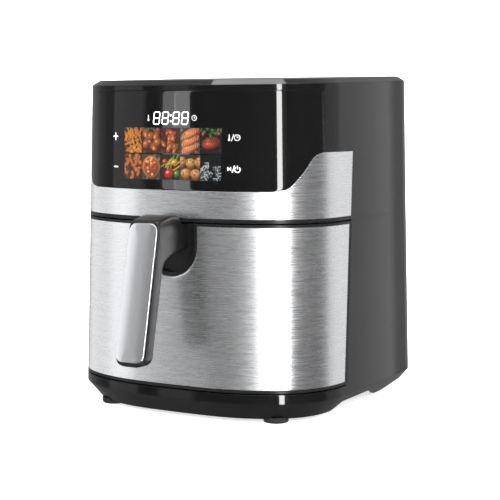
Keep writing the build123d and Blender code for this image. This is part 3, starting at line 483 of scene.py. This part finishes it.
def handle_mesh():
    n = 115
    out, inn = resample(OUTER, n), resample(INNER, n)
    verts, faces = [], []
    q = 9
    per = 4 * q
    z_low = 60.9
    for a, b in zip(out, inn):
        # a narrower section near the lower end rounds its corners
        zc = 0.5 * (a[1] + b[1])
        hw = HAND_HALF
        dz = zc - z_low
        if dz < HAND_R and a[0] < -185:
            hw -= HAND_R - math.sqrt(max(0.0, HAND_R ** 2 - (HAND_R - max(dz, 0.0)) ** 2))
        mid, d = (a + b) / 2, (a - b)
        hh = float(np.hypot(*d)) / 2
        d = d / (2 * hh)
        r = min(3.4, hh * 0.9, hw * 0.9)
        for cxs, czs, a0 in ((1, 1, 0), (-1, 1, 90), (-1, -1, 180), (1, -1, 270)):
            for k in range(q):
                t = math.radians(a0 + 90 * k / (q - 1))
                u = cxs * (hw - r) + r * math.cos(t)
                v = czs * (hh - r) + r * math.sin(t)
                verts.append((u, mid[0] + d[0] * v, mid[1] + d[1] * v))
    for i in range(n - 1):
        for k in range(per):
            a, b = i * per + k, i * per + (k + 1) % per
            faces.append([a, b, b + per, a + per])
    faces.append(list(range(per))[::-1])
    faces.append([(n - 1) * per + k for k in range(per)])
    return make("grip", verts, faces, M["black_plastic"], "drawer")


grip = handle_mesh()
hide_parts("handle_body")


def plate_mesh():
    """Face plate: rounded outline, slightly crowned across, rounded edge."""
    w, r = HAND_HALF - 0.5, 8.2
    p_lo, p_hi = np.array((-210.9, 64.6)), np.array((-184.5, 190.3))
    ax = p_hi - p_lo
    L = float(np.hypot(*ax)); ax = ax / L
    nrm = np.array((-ax[1], ax[0]))              # forward, away from the grip
    c = (p_lo + p_hi) / 2 + nrm * 0.05
    h = L / 2 - 0.5
    q, side = 12, 14
    th, rnd, crown = 1.5, 0.9, 0.0

    def loop(d, depth):
        rr_ = max(r - d, 0.6)
        hw, hh = w - d, h - d
        pts = []
        for cx, cz, a0 in ((1, 1, 0), (-1, 1, 90), (-1, -1, 180), (1, -1, 270)):
            for k in range(q):
                t = math.radians(a0 + 90 * k / (q - 1))
                pts.append((cx * (hw - rr_) + rr_ * math.cos(t), cz * (hh - rr_) + rr_ * math.sin(t)))
        out = []
        for x, v in pts:
            drop = 2.4 * (x / w) ** 2 * 0.42
            yz = c + ax * v + nrm * (depth - drop if depth > 0 else 0.0)
            out.append((x, yz[0], yz[1]))
        return out

    steps = [(0.0, 0.0), (0.0, 0.55)]
    for k in range(1, 8):
        t = math.radians(90 * k / 7)
        steps.append((rnd * (1 - math.cos(t)), th - rnd + rnd * math.sin(t)))
    for d in (1.6, 2.4, 3.4, 4.6, 6.0, 7.6, 9.4, 11.4, 13.2, 14.6):
        steps.append((d, th))
    verts, faces = [], []
    for d, depth in steps:
        verts += loop(d, depth)
    m = 4 * q
    for i in range(len(steps) - 1):
        for k in range(m):
            a, b = i * m + k, i * m + (k + 1) % m
            faces.append([a, b, b + m, a + m])
    faces.append([k for k in range(m)][::-1])
    # middle strip
    base = (len(steps) - 1) * m
    top_, bot = [base + k for k in range(0, 2 * q)], [base + k for k in range(2 * q, 4 * q)]
    faces.append([base + k for k in range(m)])
    return make("plate_face", verts, faces, M["satin_steel"], "drawer")


plate = plate_mesh()
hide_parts("handle_plate")

# ---------------------------------------------------------------- display graphics on the panel


def surf(x, z, off=0.12):
    S, X, Y, T = table(round(z, 1))
    q = abs(x)
    y = float(np.interp(q, X[:200], Y[:200])); t = float(np.interp(q, X[:200], T[:200]))
    return (x + math.copysign(off * math.sin(t), x), y - off * math.cos(t), z)


def decal(name, polys, mat, off=0.12, th=0.06):
    """Thin printed or lit marks: convex (x, z) outlines laid on the panel."""
    verts, faces = [], []
    for p in polys:
        n = len(p)
        b = len(verts)
        verts += [surf(x, z, off + th) for x, z in p]
        verts += [surf(x, z, off) for x, z in p]
        faces.append([b + i for i in range(n)])
        faces.append([b + n + i for i in range(n)][::-1])
        for i in range(n):
            k = (i + 1) % n
            faces.append([b + i, b + n + i, b + n + k, b + k])
    ob = make(name, verts, faces, mat, "housing", smooth=False)
    return ob


def bar(x0, z0, x1, z1, w):
    dx, dz = x1 - x0, z1 - z0
    l = math.hypot(dx, dz)
    nx, nz = -dz / l * w / 2, dx / l * w / 2
    return [(x0 + nx, z0 + nz), (x0 - nx, z0 - nz), (x1 - nx, z1 - nz), (x1 + nx, z1 + nz)]


def arc_bars(cx, cz, r, a0, a1, w, n=16):
    out = []
    for k in range(n):
        t0, t1 = math.radians(a0 + (a1 - a0) * k / n), math.radians(a0 + (a1 - a0) * (k + 1) / n)
        ri, ro = r - w / 2, r + w / 2
        out.append([(cx + ri * math.cos(t0), cz + ri * math.sin(t0)), (cx + ro * math.cos(t0), cz + ro * math.sin(t0)),
                    (cx + ro * math.cos(t1), cz + ro * math.sin(t1)), (cx + ri * math.cos(t1), cz + ri * math.sin(t1))])
    return out


def disc(cx, cz, r, n=18):
    return [(cx + r * math.cos(2 * math.pi * k / n), cz + r * math.sin(2 * math.pi * k / n)) for k in range(n)]


def lit(name, col, strength, vary=0.12):
    m, nt, b = new_mat(name)
    v = coords(nt, (1, 1, 1))
    n1 = noise(nt, v, 420, 2)
    lo = tuple(c * (1 - vary) for c in col)
    c = ramp(nt, n1, [(0.3, lo), (0.7, col)])
    nt.links.new(c, b.inputs["Base Color"])
    nt.links.new(c, b.inputs["Emission Color"])
    b.inputs["Emission Strength"].default_value = strength
    nt.links.new(maprange(nt, n1, 0.25, 0.35), b.inputs["Roughness"])
    return m


LIT_WHITE = lit("lit_white", (0.88, 0.92, 0.96), 0.95)
PRINT_GREY = lit("print_grey", (0.62, 0.63, 0.64), 0.35)

SEG = {"a": (0, 1), "b": (1, 1), "c": (1, 0), "d": (0, 0)}


def digit(cx, z0, w, h, t, slant=0.10):
    """Seven-segment 8."""
    def P(x, z):
        return (cx + x + slant * (z - z0 - h / 2), z)
    zt, zm, zb = z0 + h, z0 + h / 2, z0
    a, gap = w / 2, 0.28
    out = []
    for zc in (zt - t / 2, zm, zb + t / 2):
        x0, x1 = -a + t / 2 + gap, a - t / 2 - gap
        out.append([P(x0, zc), P(x0 + t / 2, zc + t / 2), P(x1 - t / 2, zc + t / 2), P(x1, zc), P(x1 - t / 2, zc - t / 2), P(x0 + t / 2, zc - t / 2)])
    for sx in (-1, 1):
        xc = sx * (a - t / 2)
        for za, zb_ in ((zb + t / 2 + gap, zm - gap), (zm + gap, zt - t / 2 - gap)):
            out.append([P(xc, za), P(xc + t / 2, za + t / 2), P(xc + t / 2, zb_ - t / 2), P(xc, zb_), P(xc - t / 2, zb_ - t / 2), P(xc - t / 2, za + t / 2)])
    return out


marks = []
for cx in (-15.2, -5.6, 6.2, 15.8):
    marks += digit(cx, 278.8, 7.4, 12.2, 0.98)
for z in (282.0, 287.6):
    marks.append([(0.3 - .75, z - .75), (0.3 + .75, z - .75), (0.3 + .75 + .1, z + .75), (0.3 - .75 + .1, z + .75)])
decal("clock_digits", marks, LIT_WHITE)
small = [bar(-24.6, 283.6, -24.6, 287.8, 0.8)] + [disc(-24.6, 283.0, 1.0)]
small += arc_bars(25.6, 285.2, 2.4, 0, 360, 0.45) + [bar(25.6, 285.2, 25.6, 286.8, 0.4), bar(25.6, 285.2, 26.9, 285.2, 0.4)]
decal("display_icons", small, PRINT_GREY)
touch = [bar(-69.3, 267.4, -62.5, 267.4, 0.95), bar(-65.9, 263.9, -65.9, 270.9, 0.95), bar(-67.9, 238.4, -62.6, 238.4, 0.95)]
decal("touch_plus_minus", touch, LIT_WHITE)
right = [bar(60.3, 266.2, 60.3, 270.4, 0.65), disc(60.3, 265.4, 1.05)]
right += [bar(62.4, 264.2, 64.4, 270.6, 0.5)]
right += arc_bars(67.5, 267.4, 2.6, 0, 360, 0.5) + [bar(67.5, 267.4, 67.5, 269.2, 0.45), bar(67.5, 267.4, 68.9, 267.4, 0.45)]
decal("touch_marks_upper", right, PRINT_GREY)
right = [[(58.9, 236.9), (58.9, 240.5), (61.4, 238.7)], bar(61.9, 237.0, 61.9, 240.4, 0.7)]
right += [bar(63.3, 235.4, 65.3, 241.8, 0.55)]
right += arc_bars(68.0, 238.2, 2.5, 125, 415, 0.7) + [bar(68.0, 238.6, 68.0, 241.8, 0.7)]
decal("touch_marks", right, LIT_WHITE)

# ---------------------------------------------------------------- pictures of food, painted point by point
rng = np.random.default_rng(7)


def paint(kind, n=44):
    """Colours of an n x n picture, from simple drawn shapes."""
    yy, xx = np.mgrid[0:n, 0:n] / (n - 1.0)
    img = np.zeros((n, n, 3)) + (0.012, 0.009, 0.008)

    def blob(cx, cy, rx, ry, ang, col, hi=0.5, edge=0.12, dark=0.35):
        c, s = math.cos(ang), math.sin(ang)
        u = ((xx - cx) * c + (yy - cy) * s) / rx
        v = (-(xx - cx) * s + (yy - cy) * c) / ry
        r = np.sqrt(u * u + v * v)
        m = np.clip((1 - r) / edge, 0, 1)[..., None]
        shade = dark + (1 - dark) * np.clip(1.15 - 0.75 * r - 0.28 * u + 0.35 * v, 0, 1.25)
        spec = np.clip(1 - np.hypot(u + 0.3, v - 0.35) / 0.35, 0, 1)[..., None] * hi
        c3 = np.array(col)[None, None, :] * shade[..., None] + spec
        img[:] = img * (1 - m) + c3 * m

    def stick(cx, cy, L, w, ang, col):
        c, s = math.cos(ang), math.sin(ang)
        u = np.abs((xx - cx) * c + (yy - cy) * s) / L
        v = (-(xx - cx) * s + (yy - cy) * c) / w
        m = (np.clip((1 - u) / 0.1, 0, 1) * np.clip((1 - np.abs(v)) / 0.25, 0, 1))[..., None]
        c3 = np.array(col)[None, None, :] * (0.72 + 0.38 * np.clip(v, -1, 1))[..., None]
        img[:] = img * (1 - m) + c3 * m

    U = rng.uniform

    def ground(c, n_=26, size=.12):
        """Uneven background of dark soft patches."""
        img[:] = np.array(c) * .35
        for _ in range(n_):
            k = U(.3, 1.2)
            blob(U(0, 1), U(0, 1), U(.4, 1) * size, U(.4, 1) * size, U(0, 3), tuple(v * k for v in c), .05, .5, .2)

    if kind == 0:      # fries
        ground((.16, .06, .02))
        for _ in range(46):
            stick(U(.0, 1.), U(.0, 1.), U(.14, .26), .045, U(0, 3.1), (U(.62, .95), U(.22, .42), U(.02, .06)))
        for _ in range(5):
            blob(U(.1, .9), U(.0, .25), .13, .09, U(0, 3), (.80, .30, .04), .3)
    elif kind == 1:    # drumsticks
        ground((.20, .12, .05))
        for cx, cy, a in ((.25, .38, .6), (.62, .28, 2.4), (.45, .66, .2), (.78, .68, 1.2), (.2, .8, 2.0), (.85, .42, .2)):
            stick(cx + .2 * math.cos(a), cy + .2 * math.sin(a), .14, .04, a, (.80, .62, .40))
            blob(cx, cy, .24, .17, a, (.52, .15, .025), .4, .12, .12)
        for _ in range(8):
            blob(U(.0, 1), U(.8, 1), .06, .04, U(0, 3), (.10, .26, .04), .1)
        blob(.85, .9, .1, .1, 0, (.6, .04, .02), .4)
    elif kind == 2:    # glazed wings
        ground((.22, .07, .02))
        for _ in range(13):
            blob(U(.1, .9), U(.1, .9), U(.16, .26), U(.08, .13), U(0, 3), (U(.45, .68), U(.10, .18), .02), .45, .12, .10)
    elif kind == 3:    # fish fillets
        ground((.24, .20, .16))
        for cy in (.22, .50, .78):
            blob(.5, cy, .50, .19, .35, (.80, .26, .09), .25, .1, .2)
            for k in range(8):
                stick(.12 + k * .11, cy + (k - 4) * .04, .10, .014, 1.3, (.95, .58, .36))
        for _ in range(5):
            blob(U(.0, 1), U(.0, 1), .05, .04, U(0, 3), (.16, .34, .05), .1)
        blob(.9, .85, .08, .08, 0, (.65, .05, .03), .4)
    elif kind == 4:    # steak
        ground((.05, .045, .04))
        for _ in range(10):
            blob(U(0, 1), U(.7, 1), .10, .07, U(0, 3), (.08, .22, .04), .1)
        blob(.5, .42, .46, .26, .12, (.30, .10, .05), .2, .1, .2)
        blob(.45, .36, .36, .15, .12, (.62, .09, .05), .15, .2, .3)
        for k in range(6):
            stick(.22 + k * .11, .55, .16, .014, 1.0, (.07, .025, .015))
        blob(.12, .75, .07, .07, 0, (.7, .05, .03), .5); blob(.88, .78, .07, .06, 0, (.6, .05, .03), .5)
    elif kind == 5:    # prawns
        ground((.22, .09, .03))
        for _ in range(13):
            cx, cy, a = U(.05, .95), U(.05, .95), U(0, 6)
            for k in range(7):
                t = a + k * .45
                blob(cx + .13 * math.cos(t), cy + .13 * math.sin(t), .085, .06, t, (.72, .24, .05), .3, .2, .2)
    elif kind == 6:    # round pie
        ground((.28, .20, .14), 18)
        blob(.5, .5, .50, .46, 0, (.66, .34, .12), .1)
        blob(.5, .5, .42, .38, 0, (.62, .13, .03), .1)
        for _ in range(26):
            a, r = U(0, 6.28), U(0, .33)
            blob(.5 + r * math.cos(a), .5 + r * math.sin(a), .065, .06, 0, (.60, .04, .02) if U(0, 1) < .5 else (.86, .60, .26), .3)
        for _ in range(8):
            a, r = U(0, 6.28), U(0, .3)
            blob(.5 + r * math.cos(a), .5 + r * math.sin(a), .05, .025, a, (.10, .28, .04), .1)
    elif kind == 7:    # vegetables
        ground((.05, .09, .02))
        for _ in range(9):
            stick(U(.2, 1), U(.45, 1), .28, .035, U(.2, 1.3), (.28, .50, .05) if U(0, 1) < .6 else (.85, .52, .05))
        for cx, cy, rx, ry, c in ((.45, .26, .27, .20, (.66, .03, .015)), (.22, .72, .14, .12, (.70, .05, .02)),
                                  (.72, .70, .20, .12, (.75, .42, .04)), (.85, .25, .16, .15, (.10, .30, .03))):
            blob(cx, cy, rx, ry, .3, c, .6, .1, .15)
    elif kind == 8:    # cup cakes
        ground((.20, .10, .04))
        for cx, cy in ((.28, .26), (.78, .24), (.52, .66), (.05, .72), (.98, .70)):
            blob(cx, cy - .10, .20, .16, 0, (.36, .14, .04), .1)
            blob(cx, cy + .02, .27, .19, 0, (.72, .38, .12), .3, .1, .2)
            for _ in range(5):
                blob(cx + U(-.16, .16), cy + U(-.06, .12), .035, .03, 0, (.22, .08, .03), .1)
    else:              # ice cubes
        img[:] = (0.003, 0.004, 0.005)
        for _ in range(26):
            cx, cy, a = U(.02, .98), U(.0, .62), U(0, 1.5)
            q = U(.07, .12)
            c, s_ = math.cos(a), math.sin(a)
            u = ((xx - cx) * c + (yy - cy) * s_) / q
            v = (-(xx - cx) * s_ + (yy - cy) * c) / (q * .85)
            r = np.maximum(np.abs(u), np.abs(v))
            m = np.clip((1 - r) / .15, 0, 1)[..., None]
            edge = np.clip((r - .62) / .2, 0, 1)[..., None] * np.clip(.6 + .5 * np.sign(u + v), .1, 1)[..., None]
            face = (.03 + .25 * np.clip(u * v + .2, 0, 1))[..., None] * np.array((.85, .95, 1.0))
            img[:] = img * (1 - m) + (face * (1 - edge) + np.array((.80, .86, .92)) * edge) * m
    img += rng.normal(0, .012, img.shape)
    return np.clip(1.45 * np.clip(img, 0, 1) ** 1.22, 0, 1)


def picture_mat(name):
    m, nt, b = new_mat(name)
    a = nt.nodes.new("ShaderNodeAttribute"); a.attribute_name = "paint"
    v = coords(nt, (1, 1, 1))
    n1 = noise(nt, v, 2600, 2)
    mixn = nt.nodes.new("ShaderNodeMix"); mixn.data_type = "RGBA"; mixn.blend_type = "MULTIPLY"
    mixn.inputs["Factor"].default_value = 0.35
    nt.links.new(a.outputs["Color"], mixn.inputs["A"])
    nt.links.new(ramp(nt, n1, [(0.3, (.6, .6, .6)), (0.7, (1, 1, 1))]), mixn.inputs["B"])
    nt.links.new(ramp(nt, n1, [(0.3, (.004, .004, .004)), (0.7, (.007, .007, .007))]), b.inputs["Base Color"])
    nt.links.new(mixn.outputs["Result"], b.inputs["Emission Color"])
    b.inputs["Emission Strength"].default_value = 0.80
    nt.links.new(maprange(nt, n1, 0.12, 0.2), b.inputs["Roughness"])
    return m


PICTURE = picture_mat("lit_picture")
N = 44
for k in range(10):
    c, r = k % 5, k // 5
    x0 = -53.6 + 21.5 * c
    zt = 276.0 if r == 0 else 251.2
    x1, z1 = x0 + 21.0, zt - 23.8
    img = paint(k, N)
    verts, faces = [], []
    for i in range(N):
        for j in range(N):
            verts.append(surf(x0 + (x1 - x0) * j / (N - 1), z1 + (zt - z1) * i / (N - 1), 0.10))
    for i in range(N - 1):
        for j in range(N - 1):
            a = i * N + j
            faces.append([a, a + 1, a + N + 1, a + N])
    ob = make("tile_%d" % k, verts, faces, PICTURE, "housing")
    col = ob.data.attributes.new("paint", "FLOAT_COLOR", "POINT")
    flat = np.concatenate([img.reshape(-1, 3), np.ones((N * N, 1))], axis=1).astype(np.float32)
    col.data.foreach_set("color", flat.ravel())

# ---------------------------------------------------------------- studio
def stage_mat(name, base, centre_shade_emit):
    m, nt, b = new_mat(name)
    v = coords(nt, (1, 1, 1))
    n1 = noise(nt, v, 3, 2)
    nt.links.new(ramp(nt, n1, [(0.3, tuple(c * 0.985 for c in base)), (0.7, base)]), b.inputs["Base Color"])
    b.inputs["Roughness"].default_value = 0.9
    b.inputs["Specular IOR Level"].default_value = 0.1
    b.inputs["Emission Color"].default_value = (1, 1, 1, 1)
    # glow grows with distance from the middle: weaker under and around the part, a painted soft shade round its
    # footprint, full glow further out
    ln = nt.nodes.new("ShaderNodeVectorMath"); ln.operation = "LENGTH"
    nt.links.new(v, ln.inputs[0])
    nt.links.new(maprange(nt, ln.outputs["Value"], centre_shade_emit, 1.0, 0.30, 0.85), b.inputs["Emission Strength"])
    return m


def plane(name, pts, mat):
    me = bpy.data.meshes.new(name)
    me.from_pydata(pts, [], [list(range(len(pts)))])
    ob = bpy.data.objects.new(name, me)
    bpy.context.scene.collection.objects.link(ob)
    me.materials.append(mat)
    return ob


def sweep_backdrop():
    """Floor with a wall curved up all round, far from the part."""
    prof = [(0.0, 0.0), (1.0, 0.0), (2.2, 0.0)] + [(2.2 + 0.8 * math.sin(a), 0.8 - 0.8 * math.cos(a)) for a in np.linspace(0.1, math.pi / 2, 12)] + [(3.0, 3.2)]
    n = 64
    verts, faces = [], []
    for r, z in prof[1:]:
        for k in range(n):
            t = 2 * math.pi * k / n
            verts.append((r * math.cos(t), r * math.sin(t), z))
    c = len(verts); verts.append((0, 0, 0))
    for k in range(n):
        faces.append([c, k, (k + 1) % n])
    for i in range(len(prof) - 2):
        for k in range(n):
            a, b = i * n + k, i * n + (k + 1) % n
            faces.append([a, a + n, b + n, b])
    me = bpy.data.meshes.new("floor")
    me.from_pydata(verts, [], faces)
    me.shade_smooth()
    ob = bpy.data.objects.new("floor", me)
    bpy.context.scene.collection.objects.link(ob)
    # the dimmer glow near the middle of the floor is painted shade around the part
    me.materials.append(stage_mat("floor_white_shaded_centre", (0.86, 0.86, 0.86), 0.66))
    ob.visible_glossy = False
    return ob


floor = sweep_backdrop()
floor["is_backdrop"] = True

world = bpy.data.worlds.new("studio"); bpy.context.scene.world = world; world.use_nodes = True
nt = world.node_tree
tc = nt.nodes.new("ShaderNodeTexCoord")
sep = nt.nodes.new("ShaderNodeSeparateXYZ"); nt.links.new(tc.outputs["Generated"], sep.inputs[0])
neg = nt.nodes.new("ShaderNodeMath"); neg.operation = "MULTIPLY"; neg.inputs[1].default_value = -1.0
nt.links.new(sep.outputs["Y"], neg.inputs[0])
az = nt.nodes.new("ShaderNodeMath"); az.operation = "ARCTAN2"      # azimuth from the front towards +X
nt.links.new(sep.outputs["X"], az.inputs[0]); nt.links.new(neg.outputs[0], az.inputs[1])
mr = nt.nodes.new("ShaderNodeMapRange")
mr.inputs["From Min"].default_value = -math.pi; mr.inputs["From Max"].default_value = math.pi
nt.links.new(az.outputs[0], mr.inputs["Value"])
# (azimuth in degrees, brightness)
ENV = [(-180, .40), (-150, .30), (-100, .38), (-78, .15), (-72, .17), (-70, .64), (-39.5, .60), (-38.5, .08), (-35.2, .10), (-34.6, .55), (-27.8, .55), (-27.3, .07), (17, .07), (22, .12), (39, .14),
       (41.6, 0.4), (54, 0.4), (56, .10), (104, .09), (115, .14), (118, .50), (140, .46), (152, .60), (159.6, .86), (160.2, .40), (180, .55)]
rp = nt.nodes.new("ShaderNodeValToRGB")
el = rp.color_ramp.elements
while len(el) < len(ENV):
    el.new(0.5)
for e, (a, v) in zip(el, ENV):
    e.position = (a + 180) / 360
    e.color = (v, v, v * 1.01, 1)
nt.links.new(mr.outputs[0], rp.inputs["Fac"])
bg = nt.nodes["Background"]
# overhead and underneath the bands give way to an even grey
ab = nt.nodes.new("ShaderNodeMath"); ab.operation = "ABSOLUTE"; nt.links.new(sep.outputs["Z"], ab.inputs[0])
hi = nt.nodes.new("ShaderNodeMapRange")
hi.inputs["From Min"].default_value = 0.42; hi.inputs["From Max"].default_value = 0.80
nt.links.new(ab.outputs[0], hi.inputs["Value"])
mixw = nt.nodes.new("ShaderNodeMix"); mixw.data_type = "RGBA"
nt.links.new(hi.outputs["Result"], mixw.inputs["Factor"])
nt.links.new(rp.outputs["Color"], mixw.inputs["A"])
mixw.inputs["B"].default_value = (0.42, 0.42, 0.43, 1)
nt.links.new(mixw.outputs["Result"], bg.inputs["Color"])
low = nt.nodes.new("ShaderNodeMapRange")        # darker below the horizon
low.inputs["From Min"].default_value = -0.55; low.inputs["From Max"].default_value = -0.12
low.inputs["To Min"].default_value = 0.45; low.inputs["To Max"].default_value = 1.0
nt.links.new(sep.outputs["Z"], low.inputs["Value"])
nt.links.new(low.outputs["Result"], bg.inputs["Strength"])


def light(name, loc, target, sx, sy, watts, color=(1, 1, 1), spread=180):
    L = bpy.data.lights.new(name, "AREA")
    L.shape = "RECTANGLE"; L.size = sx; L.size_y = sy; L.energy = watts; L.color = color
    L.spread = math.radians(spread)
    ob = bpy.data.objects.new(name, L)
    bpy.context.scene.collection.objects.link(ob)
    ob.location = loc
    ob.rotation_euler = (Vector(target) - Vector(loc)).to_track_quat("-Z", "Y").to_euler()
    return ob


steel = bpy.data.collections.new("steel_parts")
for o in (band, skin, plate):
    steel.objects.link(o)


def around(name, az_deg, dist, z, sx, sy, watts, only=None, color=(1, 1, 1)):
    a = math.radians(az_deg)
    ob = light(name, (dist * math.sin(a), -dist * math.cos(a) + YS * MM, z), (0, YS * MM, z), sx, sy, watts, color)
    if only:
        ob.light_linking.receiver_collection = only
    return ob


around("steel_box_left", -78, 2.5, 0.3, 4.0, 4.0, 33, steel)
around("steel_box_front", 0, 2.5, 0.3, 2.2, 4.0, 3.6, steel)
around("steel_box_near", 31, 2.5, 0.3, 0.50, 4.0, 26, steel)
around("steel_box_right", 135, 2.5, 0.3, 1.6, 4.0, 8, steel)

glass = bpy.data.collections.new("glass_parts")
glass.objects.link(panel)
around("panel_strip_a", -30.9, 2.5, 0.3, 0.14, 4.0, 3.6, glass)
around("panel_strip_b", -27.6, 2.5, 0.3, 0.17, 4.0, 6.6, glass)

top = light("top_softbox", (0, 0, 2.6), (0, 0, 0), 2.4, 2.4, 52)
# narrow upright strip that draws the bright line down the front
a = math.radians(46.2)
strip = light("strip_light", (2.6 * math.sin(a), -2.6 * math.cos(a) + .03, 0.2), (0, .03, 0.2), 0.30, 5.0, 95, (1, .985, .98))

# ---------------------------------------------------------------- camera
cam = bpy.data.cameras.new("camera"); co = bpy.data.objects.new("camera", cam)
bpy.context.scene.collection.objects.link(co)
cam.lens = 100.43; cam.sensor_width = 36.0
loc = Vector((0.6976, -1.2450 + YS * MM, 0.2909)); tgt = Vector((0.0062, 0.0034 + YS * MM, 0.1496))
co.location = loc
co.rotation_euler = (tgt - loc).to_track_quat("-Z", "Y").to_euler()
co.rotation_euler.rotate_axis("Z", math.radians(0.13))
bpy.context.scene.camera = co
bpy.context.scene.view_settings.view_transform = "Standard"

SIZE_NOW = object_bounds()
flat = lambda b: [list(map(float, b[0])), list(map(float, b[1]))]
{"cad": flat(SIZE_CAD), "visual": flat(SIZE_NOW)}
